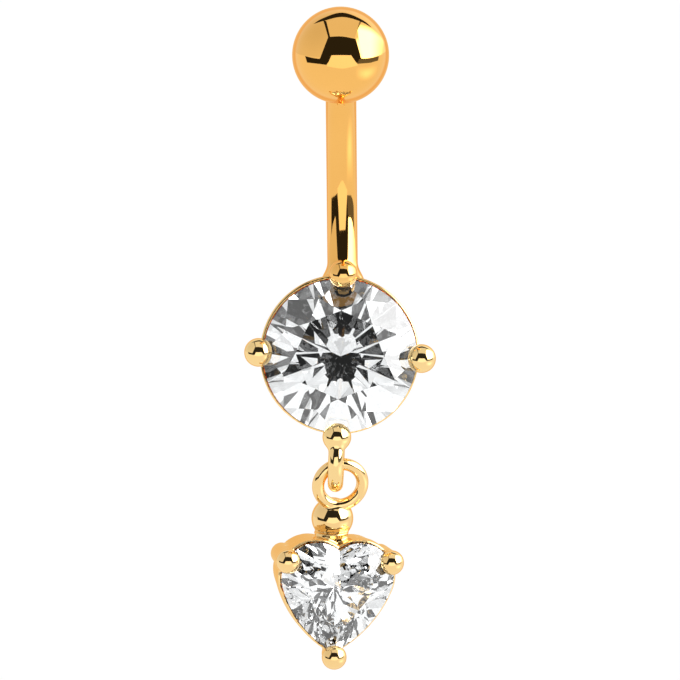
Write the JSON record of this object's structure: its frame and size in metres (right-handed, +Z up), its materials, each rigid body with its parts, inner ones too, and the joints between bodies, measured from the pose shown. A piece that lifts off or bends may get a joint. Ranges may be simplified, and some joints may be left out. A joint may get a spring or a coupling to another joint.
{
  "type": "navel ring",
  "caption": "Curved navel ring with a ball on its bent bar, a round stone in four prongs and a heart stone in three prongs that swings below on a ring.",
  "frame": {"origin": "the middle of the bent bar, where the bar lies in the piercing", "axes": "+Z up through the top ball, -Y the front that the stones face, +X to the right seen from the front"},
  "size_m": [0.01, 0.0073, 0.0347],
  "materials": {
    "ball_gold": "mirror-polished gold plating",
    "bar_gold": "polished gold plating, slightly uneven where it is cast and soldered",
    "round_crystal": "clear cut crystal with sharp polished facets",
    "drop_gold": "polished gold plating over cast metal",
    "heart_crystal": "clear cut crystal with sharp polished facets"
  },
  "bodies": {
    "barbell": {"top_ball": "ball_gold", "barbell": "bar_gold", "round_stone": "round_crystal"},
    "drop": {"heart_setting": "drop_gold", "heart_stone": "heart_crystal"}
  },
  "joints": [
    {"name": "drop_swing", "type": "hinge", "parent": "barbell", "child": "drop", "pos_m": [-0.00048, -0.00327, -0.01598], "axis": [0.0253, 0.9997, -0.0002], "range_deg": [-85, 85]}
  ]
}
